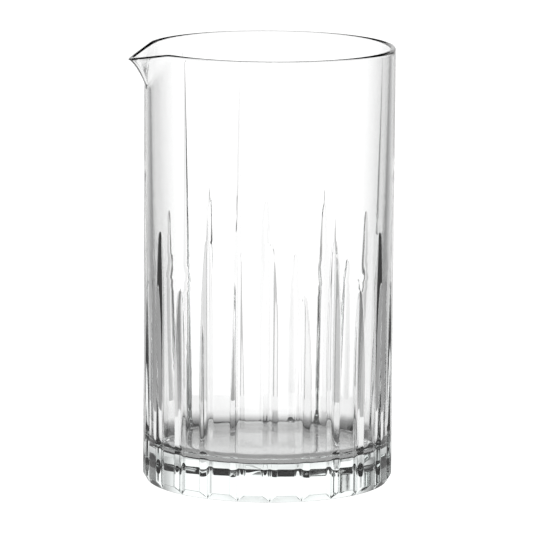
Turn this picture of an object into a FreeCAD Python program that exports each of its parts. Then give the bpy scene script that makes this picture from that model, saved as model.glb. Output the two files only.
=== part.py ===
"""Stirring glass: one piece of pressed glass with moulded V-cuts and a pouring lip.

Millimetres. The origin is the centre of the foot, +Z runs up the axis of the glass, and the lip
points along -X. The slug is turned first, the lip is added, the inside is taken out, the edges
are rounded, and the cuts come last.
"""
import FreeCAD, Part
import os
import Sketcher
from FreeCAD import Placement, Rotation, Vector

NODE = "vessel"

# Driving dimensions: lengths in millimetres, angles in degrees.
SIZES = {
    "outer_radius": 44.0,         # straight outside wall
    "height": 154.0,              # foot to rim
    "rim_wall": 1.7,              # thickness of the wall at the rim
    "heel_wall": 4.6,             # thickness of the wall where it meets the floor
    "floor_thickness": 12.6,      # solid glass under the drink
    "floor_corner": 5.0,          # radius between the inside wall and the floor
    "foot_bevel_width": 1.5,      # bevel round the foot, in plan
    "foot_bevel_height": 2.6,
    "rim_round": 0.6,             # melted edge of the rim
    "lip_drop": 13.5,             # the lip leaves the wall this far under the rim
    "lip_reach": 9.4,             # how far the lip would stand out at the height of the rim
    "lip_slope_drop": 3.9,        # fall of the sliced pouring edge over the whole lip
    "lip_slope_angle": 31.0,      # where on the rim that slice starts, from the lip's middle
    "lip_wall": 1.8,              # thickness across the beak
    "lip_inset": 0.4,             # the lip's flanks end this deep inside the wall
    "lip_mouth_angle": 33.0,      # half of the wall that the lip takes up, at the rim
    "lip_root_angle": 3.0,        # the same at the bottom of the lip
    "beak_round": 1.5,            # rounding of the beak in plan
    "cut_depth": 1.3,             # a cut at its full width
    "cut_half_angle": 63.4,       # half of the V between the two faces of a cut
    "cut_clearance": 1.5,         # the cutting shape runs this far out of the glass
    "cut_turn": 6.3,              # the first tall cut, turned from the side opposite the lip
    "tall_cut_top": 152.3,        # where each kind of cut ends in a point
    "long_cut_top": 100.5,
    "middle_cut_top": 91.5,
    "short_cut_top": 72.5,
}

# How a cut grows below its point: (distance under the point, share of the full depth). A share
# under 0 starts the cutting shape just outside the wall, so that the cut ends in a sharp point.
GROWTH = {
    "slender": ((0, -0.02), (20, 0.12), (50, 0.36), (83, 0.72), (118, 1)),
    "needle": ((0, -0.02), (9, 0.15), (13, 0.48), (22, 0.76), (45, 1)),
    "lancet": ((0, -0.05), (1.5, 0.36), (5, 0.56), (14, 0.79), (30, 1)),
}
CUT_GROWTH = {"tall": "slender", "long": "needle", "middle": "lancet", "short": "lancet"}

# One third of the way round the glass, in order. The row repeats three times.
CUT_ROW = ("tall", "middle", "short", "long", "short", "middle", "short", "long")
ROW_REPEATS = 3
CUT_PITCH = 360 / (ROW_REPEATS * len(CUT_ROW))
NEAR = 0.05                       # two places closer than this are the same place


def make_sheet(doc):
    """Spreadsheet with every driving dimension under its alias."""
    cells = dict(SIZES)
    for growth, stations in GROWTH.items():
        for index, (distance, share) in enumerate(stations):
            cells[f"{growth}_distance_{index}"] = distance
            cells[f"{growth}_share_{index}"] = share
    sheet = doc.addObject("Spreadsheet::Sheet", "sizes")
    for row, (alias, value) in enumerate(cells.items(), start=1):
        sheet.set(f"A{row}", alias)
        sheet.set(f"B{row}", str(value))
        sheet.setAlias(f"B{row}", alias)
    doc.recompute()
    return sheet


def origin_feature(body, role):
    """The body's own origin plane or axis with this role."""
    return next(item for item in body.Origin.OriginFeatures if item.Role == role)


def place_sketch(body, name, role, lift=None, turn=None):
    """Sketch on one of the body's planes, lifted and turned by expressions."""
    sketch = body.newObject("Sketcher::SketchObject", name)
    sketch.AttachmentSupport = [(origin_feature(body, role), "")]
    sketch.MapMode = "FlatFace"
    if turn is not None:
        # A first angle other than 0 makes the rotation keep Z as its axis.
        sketch.AttachmentOffset = Placement(Vector(), Rotation(Vector(0, 0, 1), 1))
        sketch.setExpression("AttachmentOffset.Rotation.Angle", turn)
    if lift is not None:
        sketch.setExpression("AttachmentOffset.Base.z", lift)
    return sketch


def draw_outline(sketch, corners):
    """Closed straight outline. Each corner is a pair of expressions that hold it in place."""
    points = []
    for corner in corners:
        values = [sketch.evalExpression(expression) for expression in corner]
        points.append(Vector(*[float(getattr(value, "Value", value)) for value in values], 0))
    for index, point in enumerate(points):
        sketch.addGeometry(Part.LineSegment(point, points[(index + 1) % len(points)]), False)
    for index, point in enumerate(points):
        following = (index + 1) % len(points)
        sketch.addConstraint(Sketcher.Constraint("Coincident", index, 2, following, 1))
        for kind, value, expression in (
            ("DistanceX", point.x, corners[index][0]),
            ("DistanceY", point.y, corners[index][1]),
        ):
            number = sketch.addConstraint(Sketcher.Constraint(kind, -1, 1, index, 1, value))
            sketch.setExpression(f"Constraints[{number}]", expression)


def turned(body, kind, name, corners):
    """Revolution or Groove of a half section about the axis of the glass."""
    sketch = place_sketch(body, name + "_section", "XZ_Plane")
    draw_outline(sketch, corners)
    feature = body.newObject("PartDesign::" + kind, name)
    feature.Profile = sketch
    feature.ReferenceAxis = (sketch, ["V_Axis"])
    feature.Angle = 360.0
    body.Document.recompute()
    return feature


def lofted(body, kind, name, sketches):
    """Straight-sided loft through sketches that have the same number of corners."""
    feature = body.newObject("PartDesign::" + kind, name)
    feature.Profile = sketches[0]
    feature.Sections = sketches[1:]
    feature.Ruled = True
    body.Document.recompute()
    return feature


def rounded(body, name, edges):
    """Fillet of the body's latest shape. The radius is the dimension of the same name."""
    base = body.Tip
    names = [f"Edge{number}" for number, edge in enumerate(base.Shape.Edges, start=1)
             if any(edge.isSame(other) for other in edges)]
    feature = body.newObject("PartDesign::Fillet", name)
    feature.Base = (base, names)
    feature.setExpression("Radius", f"sizes.{name}")
    body.Document.recompute()
    return feature


def add_slug(body):
    """Solid glass cylinder with the bevelled foot."""
    turned(body, "Revolution", "slug", (
        ("0", "0"),
        ("sizes.outer_radius - sizes.foot_bevel_width", "0"),
        ("sizes.outer_radius", "sizes.foot_bevel_height"),
        ("sizes.outer_radius", "sizes.height"),
        ("0", "sizes.height"),
    ))


def take_out_inside(body):
    """Inside of the glass, a little narrower at the floor than at the mouth."""
    turned(body, "Groove", "inside", (
        ("0", "sizes.floor_thickness"),
        ("sizes.outer_radius - sizes.heel_wall", "sizes.floor_thickness"),
        ("sizes.outer_radius - sizes.rim_wall", "sizes.height"),
        ("0", "sizes.height"),
    ))


def lip_section(body, name, lift, point, flank_radius, half_angle):
    """Plan of the lip at one height: its point, and two flanks that end inside the wall."""
    sketch = place_sketch(body, name, "XY_Plane", lift=lift)
    along = f"-({flank_radius}) * cos({half_angle} * 1 deg)"
    across = f"({flank_radius}) * sin({half_angle} * 1 deg)"
    draw_outline(sketch, ((f"-({point})", "0"), (along, across), (along, f"-({across})")))
    return sketch


def lip_loft(body, kind, name, inset):
    """Three-sided spike that points up and out, set in from the lip's outside by inset."""
    flank = f"sizes.outer_radius - sizes.lip_inset - {inset}"
    root = lip_section(body, name + "_root", "sizes.height - sizes.lip_drop",
                       f"sizes.outer_radius - {inset}", flank, "sizes.lip_root_angle")
    mouth = lip_section(body, name + "_mouth", "sizes.height",
                        f"sizes.outer_radius + sizes.lip_reach - {inset}", flank,
                        "sizes.lip_mouth_angle")
    lofted(body, kind, name, [root, mouth])


def slice_lip(body):
    """Slope from the rim down to the pouring edge."""
    start = "-sizes.outer_radius * cos(sizes.lip_slope_angle * 1 deg)"
    end = "-(sizes.outer_radius + sizes.lip_reach)"
    sketch = place_sketch(body, "lip_slope", "XZ_Plane")
    draw_outline(sketch, (
        (start, "sizes.height"),
        (end, "sizes.height - sizes.lip_slope_drop"),
        (end, "sizes.height"),
    ))
    feature = body.newObject("PartDesign::Pocket", "lip_slice")
    feature.Profile = sketch
    feature.Type = "ThroughAll"
    feature.Midplane = True
    body.Document.recompute()


def floor_edges(shape):
    """The circle where the inside wall meets the floor."""
    floor = SIZES["floor_thickness"]
    return [edge for edge in shape.Edges
            if abs(edge.BoundBox.ZMin - floor) < NEAR and abs(edge.BoundBox.ZMax - floor) < NEAR]


def beak_edges(shape):
    """The two rising edges at the lip's point, outside and in the channel."""
    inside = SIZES["outer_radius"] - SIZES["lip_wall"]
    found = []
    for edge in shape.Edges:
        ends = [vertex.Point for vertex in edge.Vertexes]
        on_middle = all(abs(end.y) < NEAR and end.x < NEAR - inside for end in ends)
        if on_middle and abs(ends[0].z - ends[-1].z) > SIZES["lip_drop"] / 2:
            found.append(edge)
    return found


def rim_edges(shape):
    """The borders of the flat rim and the sliced lip, but not the line between the two."""
    lowest = SIZES["height"] - SIZES["lip_slope_drop"] - NEAR
    tops = [face for face in shape.Faces
            if face.BoundBox.ZMin > lowest and abs(face.normalAt(0, 0).z) > 0.9]
    edges = [edge for face in tops for edge in face.Edges]
    return [edge for edge in edges if sum(edge.isSame(other) for other in edges) == 1]


def cut_section(body, name, lift, turn, share):
    """V across one cut: its root lies inside the glass and its open side outside."""
    sketch = place_sketch(body, name, "XY_Plane", lift=lift, turn=turn)
    depth = f"sizes.cut_depth * {share}"
    half_width = f"({depth} + sizes.cut_clearance) * tan(sizes.cut_half_angle * 1 deg)"
    outside = "sizes.outer_radius + sizes.cut_clearance"
    draw_outline(sketch, (
        (f"sizes.outer_radius - {depth}", "0"),
        (outside, half_width),
        (outside, f"-({half_width})"),
    ))
    return sketch


def take_out_cut(body, position, kind):
    """One V-cut, from its point down and out through the foot."""
    growth = CUT_GROWTH[kind]
    name = f"{kind}_cut_{position}"
    turn = f"sizes.cut_turn * 1 deg + {position} * {CUT_PITCH} deg"
    sections = []
    for index in range(len(GROWTH[growth])):
        lift = f"sizes.{kind}_cut_top - sizes.{growth}_distance_{index}"
        share = f"sizes.{growth}_share_{index}"
        sections.append(cut_section(body, f"{name}_{index}", lift, turn, share))
    sections.append(cut_section(body, f"{name}_foot", "-sizes.cut_clearance", turn, "1"))
    before = body.Tip.Shape.Volume
    feature = lofted(body, "SubtractiveLoft", name, sections)
    if feature.Shape.Volume >= before:
        raise RuntimeError(name + " cuts nothing")
    return feature


def repeat_cuts(body, cuts):
    """Carry the first row of cuts round the glass."""
    pattern = body.newObject("PartDesign::PolarPattern", "cuts_all_round")
    pattern.Originals = cuts
    pattern.Axis = (origin_feature(body, "Z_Axis"), [""])
    pattern.Angle = 360.0
    pattern.Occurrences = ROW_REPEATS
    body.Tip = pattern
    body.Document.recompute()


def build_vessel(doc):
    """The whole glass."""
    body = doc.addObject("PartDesign::Body", NODE)
    body.Label = NODE
    add_slug(body)
    lip_loft(body, "AdditiveLoft", "lip", "0")
    take_out_inside(body)
    lip_loft(body, "SubtractiveLoft", "lip_channel", "sizes.lip_wall")
    slice_lip(body)
    rounded(body, "beak_round", beak_edges(body.Tip.Shape))
    rounded(body, "floor_corner", floor_edges(body.Tip.Shape))
    rounded(body, "rim_round", rim_edges(body.Tip.Shape))
    cuts = [take_out_cut(body, position, kind) for position, kind in enumerate(CUT_ROW)]
    repeat_cuts(body, cuts)
    body.Placement = Placement()
    doc.recompute()
    return body


def check(doc, body):
    """Stop if any object failed, or if the body isn't one valid solid."""
    for item in doc.Objects:
        if "Invalid" in item.State or "Error" in item.State:
            raise RuntimeError(f"{item.Label} failed: {item.State}")
    if body.Shape.isNull() or not body.Shape.isValid() or len(body.Shape.Solids) != 1:
        raise RuntimeError(body.Label + " isn't one valid solid")


def main():
    doc = FreeCAD.newDocument("stirring_glass")
    make_sheet(doc)
    vessel = build_vessel(doc)
    check(doc, vessel)
    os.makedirs("parts", exist_ok=True)
    vessel.Shape.exportStep(f"parts/{vessel.Label}.step")
    box = vessel.Shape.optimalBoundingBox(True, False)
    print(f"{vessel.Label}: x {box.XMin:.2f} to {box.XMax:.2f}, y {box.YMin:.2f} to {box.YMax:.2f},",
          f"z {box.ZMin:.2f} to {box.ZMax:.2f} mm, {vessel.Shape.Volume / 1000:.1f} cm3")


main()
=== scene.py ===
import math

import bpy
import numpy as np
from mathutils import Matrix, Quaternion, Vector


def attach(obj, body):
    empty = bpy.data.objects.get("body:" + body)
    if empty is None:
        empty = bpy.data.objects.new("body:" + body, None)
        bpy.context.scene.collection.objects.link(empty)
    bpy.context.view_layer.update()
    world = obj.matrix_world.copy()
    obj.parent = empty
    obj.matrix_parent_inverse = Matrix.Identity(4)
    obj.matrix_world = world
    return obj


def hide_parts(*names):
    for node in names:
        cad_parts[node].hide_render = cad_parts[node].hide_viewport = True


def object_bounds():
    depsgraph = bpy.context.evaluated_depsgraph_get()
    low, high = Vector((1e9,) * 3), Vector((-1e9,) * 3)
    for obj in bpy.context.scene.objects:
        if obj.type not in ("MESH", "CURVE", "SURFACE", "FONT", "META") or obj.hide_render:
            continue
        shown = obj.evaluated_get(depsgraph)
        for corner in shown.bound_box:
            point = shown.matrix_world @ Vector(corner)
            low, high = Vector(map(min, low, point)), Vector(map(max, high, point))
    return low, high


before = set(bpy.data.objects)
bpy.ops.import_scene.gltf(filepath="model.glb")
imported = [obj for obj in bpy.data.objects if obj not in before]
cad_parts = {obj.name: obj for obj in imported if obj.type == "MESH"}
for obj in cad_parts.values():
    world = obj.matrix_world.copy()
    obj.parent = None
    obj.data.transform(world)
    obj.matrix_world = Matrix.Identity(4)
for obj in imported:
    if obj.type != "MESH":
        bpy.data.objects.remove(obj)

cad_low, cad_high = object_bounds()

# ------------------------------------------------------------ sizes of the glass, in metres

MM = 0.001
HEIGHT = cad_high.z
OUTER_RADIUS = cad_high.y
RIM_WALL = 1.9 * MM
HEEL_WALL = 4.6 * MM
FLOOR_THICKNESS = 12.6 * MM
FLOOR_CORNER = 5.0 * MM
FOOT_BEVEL_WIDTH = 1.5 * MM
FOOT_BEVEL_HEIGHT = 2.6 * MM
FOOT_EDGE_ROUND = 0.55 * MM
FOOT_BORDER = 1.2 * MM              # ring that keeps the flat of the foot apart from its edge

LIP_ANGLE = math.pi                 # the lip points along -X
LIP_ROOT = HEIGHT - 13.5 * MM       # where the lip starts to leave the wall
LIP_POINT = 50.4 * MM               # from the axis to the tip of the beak
LIP_DIP = 3.9 * MM                  # the pouring edge sinks this far on its way to the tip
LIP_DIP_FROM = math.radians(28.4)   # it starts to sink this far round from the tip
LIP_DIP_EASE = 0.08                 # and eases in over about this share of the way
LIP_ROOT_EASE = 0.03                # radians over which the lip blends into the round wall
BEAK_ROUND = 0.03                   # radians either side over which the beak is rounded

CUT_SLOPE = math.tan(math.radians(27))    # how far each face of a cut leans into the glass
CUT_HALF_WIDTH = 2.6 * MM
NARROW = 1.3 * MM                   # the faces lean in more steeply where a cut is narrower
CUT_TURN = math.radians(6.3)
CUT_TOPS = {"tall": 152.3 * MM, "long": 100.5 * MM, "middle": 91.5 * MM, "short": 72.5 * MM}
TALL_CUT_WIDENS = (118, 1.1)        # down to its full width, and power: mm, for the next two as well
LONG_CUT_WIDENS = (36, 0.36)
SHORT_CUT_WIDENS = (30, 0.34)
LONG_CUT_NEEDLE = 9                 # a long cut starts as a needle of this length, in mm
NEEDLE_WIDENS = 0.016               # share of the full width that the needle gains per mm
CUT_ROW = ("tall", "middle", "short", "long", "short", "middle", "short", "long") * 3
ROOT_ROUND = 0.5 * MM               # how far the root of a wide cut is rounded
ROOT_FITS = 1.6 * MM                # a narrower cut has a tighter root
EDGE_ROUND = 0.25 * MM              # the edges of a cut are never quite sharp
PITCH = 2 * math.pi / len(CUT_ROW)

# ------------------------------------------------------------ columns of the mesh

# Half of the columns that follow a cut: (share of its half width, steps from there).
ACROSS = ((0, 0), (0.13, 0), (0.27, 0), (0.42, 0), (0.6, 0), (0.8, 0), (1, -0.5), (1, 0), (1, 0.5), (1, 1.8))
STEP = 0.3 * MM
STEP_FITS = 0.8 * MM                # a narrower cut has smaller steps
SLIMMEST = 0.12 * MM
CUT_COLUMNS = 2 * len(ACROSS) - 1
LAND_COLUMNS = 4
SECTOR_COLUMNS = CUT_COLUMNS + LAND_COLUMNS
COLUMNS = SECTOR_COLUMNS * len(CUT_ROW)
SPREAD_OVER = (1 * MM, 12 * MM)     # above a cut its columns spread out evenly
INSIDE_SPREAD = 10 * MM             # on the inside they do so over this height under the rim

# ------------------------------------------------------------ heights of the rings, in mm

LOW_RINGS = np.arange(4.5, 70, 6.0)
HIGH_RINGS = np.arange(104, 138, 4.0)
UPPER_RINGS = np.arange(100, 150, 6.0)
LIP_RINGS = np.linspace(138, 153, 22)
UNDER_A_TIP = (-0.7, -0.2, 0.05, 0.2, 0.45, 0.8, 1.3, 2, 3, 4.5, 6.5, 9, 12, 16, 21, 27, 31)
UNDER_A_NEEDLE = (9.2, 9.5, 10, 10.8, 14, 18, 24)
CLOSEST_RINGS = 0.25
RIM_CLEARANCE = 1.0


def smooth_step(low, high, value):
    x = min(max((value - low) / (high - low), 0.0), 1.0)
    return x * x * (3 - 2 * x)


def soft_positive(value, softness):
    """value where it is positive and 0 elsewhere, with a rounded corner between the two."""
    return (value + np.sqrt(value * value + softness * softness)) / 2


def cut_share(kind, below):
    """Width of a cut as a share of its full width, this far below its point."""
    down = max(below, 0.0) / MM
    if kind == "tall":
        share = (down / TALL_CUT_WIDENS[0]) ** TALL_CUT_WIDENS[1]
    elif kind == "long":
        wedge = (max(down - LONG_CUT_NEEDLE, 0) / LONG_CUT_WIDENS[0]) ** LONG_CUT_WIDENS[1]
        share = max(NEEDLE_WIDENS * down, wedge)
    else:
        share = (down / SHORT_CUT_WIDENS[0]) ** SHORT_CUT_WIDENS[1]
    return min(share, 1.0)


def cut_width(kind, radius, z):
    """Half width of a cut where the uncut surface has this radius. The bevel narrows it."""
    width = CUT_HALF_WIDTH * cut_share(kind, CUT_TOPS[kind] - z)
    return max(width - (OUTER_RADIUS - radius) / CUT_SLOPE, 0.0)


def spread_above(kind, z):
    """How evenly the columns of a cut are spread at this height: 0 beside it, 1 well above."""
    return smooth_step(CUT_TOPS[kind] + SPREAD_OVER[0], CUT_TOPS[kind] + SPREAD_OVER[1], z)


def cut_columns(width, spread):
    """Distances of a cut's columns from its middle: close to its edges, or evenly spread."""
    width = max(width, SLIMMEST)
    step = STEP * min(1.0, width / STEP_FITS)
    half = np.array([share * width + steps * step for share, steps in ACROSS])
    compact = np.concatenate([-half[:0:-1], half])
    even = (np.arange(CUT_COLUMNS) - CUT_COLUMNS // 2) * PITCH * OUTER_RADIUS / SECTOR_COLUMNS
    return compact * (1 - spread) + even * spread


def column_angles(widths, spreads):
    """Angles of all columns: the cuts' own, with evenly spaced ones on the land between."""
    angles = np.zeros((len(CUT_ROW), SECTOR_COLUMNS))
    for index, (width, spread) in enumerate(zip(widths, spreads)):
        centre = CUT_TURN + index * PITCH
        angles[index, :CUT_COLUMNS] = centre + cut_columns(width, spread) / OUTER_RADIUS
    here = angles[:, CUT_COLUMNS - 1]
    following = np.roll(angles[:, 0], -1)
    following[-1] += 2 * math.pi
    for land in range(LAND_COLUMNS):
        share = (land + 1) / (LAND_COLUMNS + 1)
        angles[:, CUT_COLUMNS + land] = here + (following - here) * share
    return angles.ravel()


def outer_ring(radius, z):
    """Ring on the outside: angles and radii, with the cuts taken out."""
    widths = [cut_width(kind, radius, z) for kind in CUT_ROW]
    spreads = [spread_above(kind, z) for kind in CUT_ROW]
    angles = column_angles(widths, spreads)
    radii = np.full(COLUMNS, radius)
    for index, width in enumerate(widths):
        if width <= 0:
            continue
        middle = CUT_TURN + index * PITCH
        away = np.abs((angles - middle + math.pi) % (2 * math.pi) - math.pi) * OUTER_RADIUS
        slope = CUT_SLOPE * (1 + max(1 - width / NARROW, 0))
        edge = EDGE_ROUND * min(1.0, width / STEP_FITS)
        root = ROOT_ROUND * min(1.0, width / ROOT_FITS)
        full = math.hypot(width, root)
        depth = soft_positive((full - np.hypot(away, root)) * slope, edge * slope)
        radii = radii - np.where(away < PITCH * OUTER_RADIUS / 2, depth, 0.0)
    return angles, radii


def inner_ring(radius, z):
    """Ring on the inside. Its columns leave the rim as they are and then spread evenly."""
    spread = smooth_step(0, INSIDE_SPREAD, HEIGHT - z)
    spreads = [max(spread, spread_above(kind, z)) for kind in CUT_ROW]
    return column_angles([0] * len(CUT_ROW), spreads), np.full(COLUMNS, radius)


def pull_lip(angles, radii, heights):
    """Pull the wall out to the beak and let the rim sink towards it."""
    rise = np.clip((heights - LIP_ROOT) / (HEIGHT - LIP_ROOT), 0, 1)
    away = (angles - LIP_ANGLE + math.pi) % (2 * math.pi) - math.pi
    away = np.sqrt(away * away + BEAK_ROUND * BEAK_ROUND)
    reach = OUTER_RADIUS + (LIP_POINT - OUTER_RADIUS) * rise
    spread = np.arccos(OUTER_RADIUS / reach) + BEAK_ROUND * rise
    lean = soft_positive(spread - away, LIP_ROOT_EASE * rise) * (rise > 0)
    pulled = radii / np.cos(lean)
    along = pulled * np.cos(away)
    start = OUTER_RADIUS * math.cos(LIP_DIP_FROM)
    fall = soft_positive((along - start) / (LIP_POINT - start), LIP_DIP_EASE)
    sunk = heights - LIP_DIP * fall * rise ** 2 * (np.cos(away) > 0)
    return pulled, sunk


# ------------------------------------------------------------ section of the wall

def arc(centre, radius, first, last, steps):
    """Points on an arc in the (radius, height) plane, from one angle to another in degrees."""
    turn = np.radians(np.linspace(first, last, steps))
    return [(centre[0] + radius * math.cos(t), centre[1] + radius * math.sin(t)) for t in turn]


def outside_section():
    """Foot, bevel, wall: (radius, height) from the flat of the foot up to the rim."""
    foot = OUTER_RADIUS - FOOT_BEVEL_WIDTH
    bevel = math.degrees(math.atan2(FOOT_BEVEL_HEIGHT, FOOT_BEVEL_WIDTH))
    tight = FOOT_EDGE_ROUND * math.tan(math.radians(bevel / 2))
    points = [(foot - FOOT_BORDER, 0.0)]
    points += arc((foot - tight, FOOT_EDGE_ROUND), FOOT_EDGE_ROUND, -90, bevel - 90, 4)
    tight = FOOT_EDGE_ROUND * math.tan(math.radians((90 - bevel) / 2))
    points += arc((OUTER_RADIUS - FOOT_EDGE_ROUND, FOOT_BEVEL_HEIGHT + tight), FOOT_EDGE_ROUND,
                  bevel - 90, 0, 3)
    heights = {*LOW_RINGS, *HIGH_RINGS, *UPPER_RINGS, *LIP_RINGS}
    for top in CUT_TOPS.values():
        heights.update(top / MM - below for below in UNDER_A_TIP)
    heights.update(CUT_TOPS["long"] / MM - below for below in UNDER_A_NEEDLE)
    for z in sorted(heights):
        if points[-1][1] + CLOSEST_RINGS * MM < z * MM < HEIGHT - RIM_CLEARANCE * MM:
            points.append((OUTER_RADIUS, z * MM))
    return points


def rim_section():
    """Melted rim: nearly a half circle from the outside to the inside."""
    half = RIM_WALL / 2
    middle = (OUTER_RADIUS - half, HEIGHT - half)
    return arc(middle, half, 0, 180, 11)


def inside_section():
    """Tapered inside wall, floor corner and floor, from the rim down."""
    top = OUTER_RADIUS - RIM_WALL
    bottom = OUTER_RADIUS - HEEL_WALL
    slope = (top - bottom) / (HEIGHT - FLOOR_THICKNESS)
    def wall(z):
        return bottom + slope * (z - FLOOR_THICKNESS)
    lowest = FLOOR_THICKNESS + FLOOR_CORNER
    heights = list(np.linspace(HEIGHT - 2 * MM, LIP_ROOT - 2 * MM, 16))
    heights += list(np.linspace(LIP_ROOT - 12 * MM, lowest + 1 * MM, 8))
    points = [(wall(z), z) for z in heights]
    points += arc((wall(lowest) - FLOOR_CORNER, lowest), FLOOR_CORNER, 0, -90, 14)
    return points


def build_vessel():
    """The whole glass as one closed skin, from the middle of the foot to that of the floor."""
    rings = [(outer_ring, point) for point in outside_section()]
    rings += [(outer_ring, point) for point in rim_section()]
    rings += [(inner_ring, point) for point in inside_section()]
    rows = []
    for make, (radius, z) in rings:
        angles, radii = make(radius, z)
        radii, heights = pull_lip(angles, radii, np.full(COLUMNS, z))
        rows.append(np.stack([radii * np.cos(angles), radii * np.sin(angles), heights], axis=1))
    points = np.concatenate(rows)
    here = np.arange(COLUMNS)
    right = np.roll(here, -1)
    faces = []
    for row in range(len(rows) - 1):
        low, high = row * COLUMNS, (row + 1) * COLUMNS
        faces += np.stack([low + here, low + right, high + right, high + here], axis=1).tolist()
    points = points.tolist()
    foot, floor = len(points), len(points) + 1
    points += [(0, 0, 0), (0, 0, FLOOR_THICKNESS)]
    last = (len(rows) - 1) * COLUMNS
    faces += [(foot, b, a) for a, b in zip(here.tolist(), right.tolist())]
    faces += [(floor, last + a, last + b) for a, b in zip(here.tolist(), right.tolist())]
    mesh = bpy.data.meshes.new("pressed_glass")
    mesh.from_pydata(points, [], faces)
    mesh.validate()
    mesh.shade_smooth()
    vessel = bpy.data.objects.new("pressed_glass", mesh)
    bpy.context.scene.collection.objects.link(vessel)
    flats = vessel.modifiers.new("flat_faces_stay_flat", "WEIGHTED_NORMAL")
    flats.weight = 50
    return vessel


# ------------------------------------------------------------ clear glass

WAVE_STRETCH = 0.35                 # the waves are longer up and down than they are round the glass
WAVES_PER_METRE = 70.0
WAVE_HEIGHT = 0.03 * MM
GLASS_INDEX = 1.52


def pressed_skin():
    """Group: faint waves that the mould leaves in the skin of pressed glass, as a height."""
    group = bpy.data.node_groups.new("pressed_skin", "ShaderNodeTree")
    group.interface.new_socket("Place", in_out="INPUT", socket_type="NodeSocketVector")
    group.interface.new_socket("Waves", in_out="INPUT", socket_type="NodeSocketFloat")
    group.interface.new_socket("Height", in_out="OUTPUT", socket_type="NodeSocketFloat")
    given = group.nodes.new("NodeGroupInput")
    result = group.nodes.new("NodeGroupOutput")
    stretched = group.nodes.new("ShaderNodeVectorMath")
    stretched.operation = "MULTIPLY"
    stretched.inputs[1].default_value = (1, 1, WAVE_STRETCH)
    noise = group.nodes.new("ShaderNodeTexNoise")
    noise.inputs["Detail"].default_value = 1.0
    group.links.new(given.outputs["Place"], stretched.inputs[0])
    group.links.new(stretched.outputs["Vector"], noise.inputs["Vector"])
    group.links.new(given.outputs["Waves"], noise.inputs["Scale"])
    group.links.new(noise.outputs["Fac"], result.inputs["Height"])
    return group


def clear_glass():
    """Clear pressed glass with waves in its skin and a faint green in its thick parts."""
    material = bpy.data.materials.new("clear_pressed_glass")
    material.use_nodes = True
    nodes = material.node_tree.nodes
    links = material.node_tree.links
    shader = nodes["Principled BSDF"]
    shader.inputs["Base Color"].default_value = (1, 1, 1, 1)
    shader.inputs["Roughness"].default_value = 0.0
    shader.inputs["IOR"].default_value = GLASS_INDEX
    shader.inputs["Transmission Weight"].default_value = 1.0
    place = nodes.new("ShaderNodeTexCoord")
    skin = nodes.new("ShaderNodeGroup")
    skin.node_tree = pressed_skin()
    skin.inputs["Waves"].default_value = WAVES_PER_METRE
    relief = nodes.new("ShaderNodeBump")
    relief.inputs["Strength"].default_value = 0.5
    relief.inputs["Distance"].default_value = WAVE_HEIGHT
    links.new(place.outputs["Object"], skin.inputs["Place"])
    links.new(skin.outputs["Height"], relief.inputs["Height"])
    links.new(relief.outputs["Normal"], shader.inputs["Normal"])
    body = nodes.new("ShaderNodeVolumeAbsorption")
    body.inputs["Color"].default_value = (0.80, 0.88, 0.86, 1)
    body.inputs["Density"].default_value = 6.0
    links.new(body.outputs["Volume"], nodes["Material Output"].inputs["Volume"])
    return material


# ------------------------------------------------------------ camera

CAMERA_AZIMUTH = math.radians(-10)
CAMERA_ELEVATION = math.radians(9.72)
CAMERA_DISTANCE = 1.807
CAMERA_ROLL = math.radians(0.42)
LENS = 346.8
AIM = Vector((0, 0, 75.73 * MM))
AIM_ASIDE = -0.70 * MM
SENSOR = 36
NEAREST = 0.05
FARTHEST = 50


def add_camera():
    """Camera a little above the rim, far off and with a long lens."""
    back = Vector((math.sin(CAMERA_AZIMUTH) * math.cos(CAMERA_ELEVATION),
                   -math.cos(CAMERA_AZIMUTH) * math.cos(CAMERA_ELEVATION),
                   math.sin(CAMERA_ELEVATION)))
    aside = Vector((math.cos(CAMERA_AZIMUTH), math.sin(CAMERA_AZIMUTH), 0))
    data = bpy.data.cameras.new("camera")
    data.lens = LENS
    data.sensor_width = SENSOR
    data.clip_start = NEAREST
    data.clip_end = FARTHEST
    camera = bpy.data.objects.new("camera", data)
    bpy.context.scene.collection.objects.link(camera)
    camera.location = AIM + back * CAMERA_DISTANCE + aside * AIM_ASIDE
    camera.rotation_mode = "QUATERNION"
    camera.rotation_quaternion = (-back).to_track_quat("-Z", "Y") @ Quaternion((0, 0, 1), CAMERA_ROLL)
    bpy.context.scene.camera = camera


# ------------------------------------------------------------ studio

AWAY_FROM_BACKDROP = (   # (degrees to either side of the white backdrop, brightness there)
    (0, 1.2), (15, 1.0), (35, 0.3), (60, 0.3), (90, 1.0), (180, 1.2))
# Its lowest stops also paint the floor darker close by the glass: a painted shadow round the foot.
UP_AND_DOWN = (          # (degrees above the horizon, share of that brightness)
    (-90, 0.3), (-60, 0.3), (-45, 0.9), (0, 1.0), (20, 0.2), (30, 0.0), (90, 0.0))
BANK_AWAY = (            # the same two for a long soft light over the backdrop
    (0, 1.2), (30, 1.2), (60, 0.0), (180, 0.0))
BANK_UP_AND_DOWN = ((-90, 0.0), (0, 0.0), (8, 1.0), (15, 1.0), (20, 0.0), (90, 0.0))
FLOOR_FILL = (           # the least brightness all round the glass, so that it looks clear from above
    (-90, 0.0), (-60, 0.0), (-30, 1.0), (-16, 1.0), (-12, 0.0), (90, 0.0))
FULL = 1.4               # a ramp holds shares of this brightness
WHITE = 1.15             # what the camera sees of the floor and behind the glass
SEEN_FROM = 0.07         # the floor is painted with the studio's light and shade as a point this high over its middle sees them
FLOOR_RADIUS = 0.14
FLOOR_GAP = 0.0002       # the floor lies this far under the foot
FLOOR_CORNERS = 96


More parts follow.
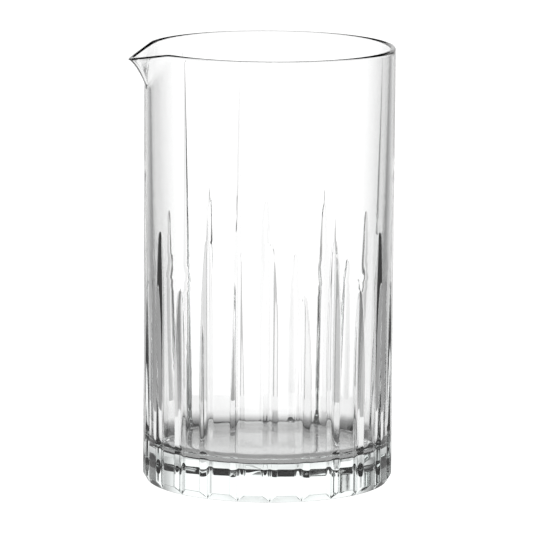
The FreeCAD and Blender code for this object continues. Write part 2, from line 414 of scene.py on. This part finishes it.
def ramp(nodes, name, stops, first, last, full):
    """Colour ramp with stops given in degrees from first to last."""
    node = nodes.new("ShaderNodeValToRGB")
    node.name = name
    elements = node.color_ramp.elements
    node.color_ramp.interpolation = "EASE"
    for degrees, bright in stops[1:-1]:
        elements.new((degrees - first) / (last - first))
    for element, (degrees, bright) in zip(elements, stops):
        element.position = (degrees - first) / (last - first)
        element.color = (bright / full, bright / full, bright / full, 1)
    return node


def mixed(tree, blend, first, second):
    """Colour of two sockets combined, as an output socket."""
    node = tree.nodes.new("ShaderNodeMix")
    node.data_type = "RGBA"
    node.blend_type = blend
    node.inputs["Factor"].default_value = 1.0
    colours = [socket for socket in node.inputs if socket.type == "RGBA"]
    tree.links.new(first, colours[0])
    tree.links.new(second, colours[1])
    return next(socket for socket in node.outputs if socket.type == "RGBA")


def studio_glow():
    """Group: light that comes to the glass from a direction, as a share of FULL."""
    group = bpy.data.node_groups.new("studio_glow", "ShaderNodeTree")
    group.interface.new_socket("Direction", in_out="INPUT", socket_type="NodeSocketVector")
    group.interface.new_socket("Glow", in_out="OUTPUT", socket_type="NodeSocketColor")
    nodes, links = group.nodes, group.links
    given = nodes.new("NodeGroupInput")
    result = nodes.new("NodeGroupOutput")
    turned = nodes.new("ShaderNodeVectorRotate")
    turned.rotation_type = "Z_AXIS"
    turned.inputs["Angle"].default_value = -math.pi / 2 - CAMERA_AZIMUTH
    links.new(given.outputs["Direction"], turned.inputs["Vector"])
    unit = nodes.new("ShaderNodeVectorMath")
    unit.operation = "NORMALIZE"
    links.new(turned.outputs["Vector"], unit.inputs[0])
    split = nodes.new("ShaderNodeSeparateXYZ")
    links.new(unit.outputs["Vector"], split.inputs["Vector"])
    angle = nodes.new("ShaderNodeMath")
    angle.operation = "ARCTAN2"
    links.new(split.outputs["Y"], angle.inputs[0])
    links.new(split.outputs["X"], angle.inputs[1])
    either = nodes.new("ShaderNodeMath")
    either.operation = "ABSOLUTE"
    links.new(angle.outputs[0], either.inputs[0])
    around = nodes.new("ShaderNodeMapRange")
    around.inputs["From Min"].default_value = 0
    around.inputs["From Max"].default_value = math.pi
    links.new(either.outputs[0], around.inputs["Value"])
    rise = nodes.new("ShaderNodeMath")
    rise.operation = "ARCSINE"
    links.new(split.outputs["Z"], rise.inputs[0])
    height = nodes.new("ShaderNodeMapRange")
    height.inputs["From Min"].default_value = -math.pi / 2
    height.inputs["From Max"].default_value = math.pi / 2
    links.new(rise.outputs[0], height.inputs["Value"])
    fill = ramp(nodes, "floor_fill", FLOOR_FILL, -90, 90, FULL)
    links.new(height.outputs["Result"], fill.inputs["Fac"])
    glows = []
    for name, away_stops, level_stops in (("room", AWAY_FROM_BACKDROP, UP_AND_DOWN),
                                           ("bank", BANK_AWAY, BANK_UP_AND_DOWN)):
        sides = ramp(nodes, f"{name}_away", away_stops, 0, 180, FULL)
        levels = ramp(nodes, f"{name}_up_and_down", level_stops, -90, 90, 1)
        links.new(around.outputs["Result"], sides.inputs["Fac"])
        links.new(height.outputs["Result"], levels.inputs["Fac"])
        bright = sides.outputs["Color"]
        if name == "room":
            bright = mixed(group, "LIGHTEN", bright, fill.outputs["Color"])
        glows.append(mixed(group, "MULTIPLY", bright, levels.outputs["Color"]))
    links.new(mixed(group, "LIGHTEN", *glows), result.inputs["Glow"])
    return group


def light_up(tree, glow, direction, kind, output):
    """The camera sees plain white; the glass is lit by the studio's glow. On the floor this glow is painted
    light and painted shade.
    """
    nodes, links = tree.nodes, tree.links
    share = nodes.new("ShaderNodeGroup")
    share.node_tree = glow
    links.new(direction, share.inputs["Direction"])
    lit = nodes.new(kind)
    lit.inputs["Strength"].default_value = FULL
    links.new(share.outputs["Glow"], lit.inputs["Color"])
    plain = nodes.new(kind)
    plain.inputs["Color"].default_value = (1, 1, 1, 1)
    plain.inputs["Strength"].default_value = WHITE
    ray = nodes.new("ShaderNodeLightPath")
    choice = nodes.new("ShaderNodeMixShader")
    links.new(ray.outputs["Is Camera Ray"], choice.inputs["Fac"])
    links.new(lit.outputs[0], choice.inputs[1])
    links.new(plain.outputs[0], choice.inputs[2])
    links.new(choice.outputs[0], output.inputs["Surface"])


def add_world(glow):
    """Studio all round the glass, down to the floor's edge and below."""
    world = bpy.data.worlds.new("studio")
    world.use_nodes = True
    nodes = world.node_tree.nodes
    nodes.clear()
    output = nodes.new("ShaderNodeOutputWorld")
    place = nodes.new("ShaderNodeTexCoord")
    light_up(world.node_tree, glow, place.outputs["Generated"], "ShaderNodeBackground", output)
    bpy.context.scene.world = world


def add_floor(glow):
    """Pale round floor that glows. The glass sees it darker close by than further off: a painted shadow
    round the foot, with painted studio light and shade beyond.
    """
    rim = [(FLOOR_RADIUS * math.cos(t), FLOOR_RADIUS * math.sin(t), -FLOOR_GAP)
           for t in np.linspace(0, 2 * math.pi, FLOOR_CORNERS, endpoint=False)]
    mesh = bpy.data.meshes.new("floor")
    mesh.from_pydata(rim, [], [list(range(len(rim)))])
    floor = bpy.data.objects.new("floor", mesh)
    bpy.context.scene.collection.objects.link(floor)
    material = bpy.data.materials.new("pale_floor_painted_shade")
    material.use_nodes = True
    nodes = material.node_tree.nodes
    nodes.clear()
    output = nodes.new("ShaderNodeOutputMaterial")
    place = nodes.new("ShaderNodeTexCoord")
    seen = nodes.new("ShaderNodeVectorMath")
    seen.operation = "SUBTRACT"
    seen.inputs[1].default_value = (0, 0, SEEN_FROM)
    material.node_tree.links.new(place.outputs["Object"], seen.inputs[0])
    light_up(material.node_tree, glow, seen.outputs["Vector"], "ShaderNodeEmission", output)
    mesh.materials.append(material)


vessel = build_vessel()
vessel.data.materials.append(clear_glass())
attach(vessel, "root")
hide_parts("vessel")
add_camera()
glow = studio_glow()
add_world(glow)
add_floor(glow)
bpy.context.scene.view_settings.view_transform = "Standard"
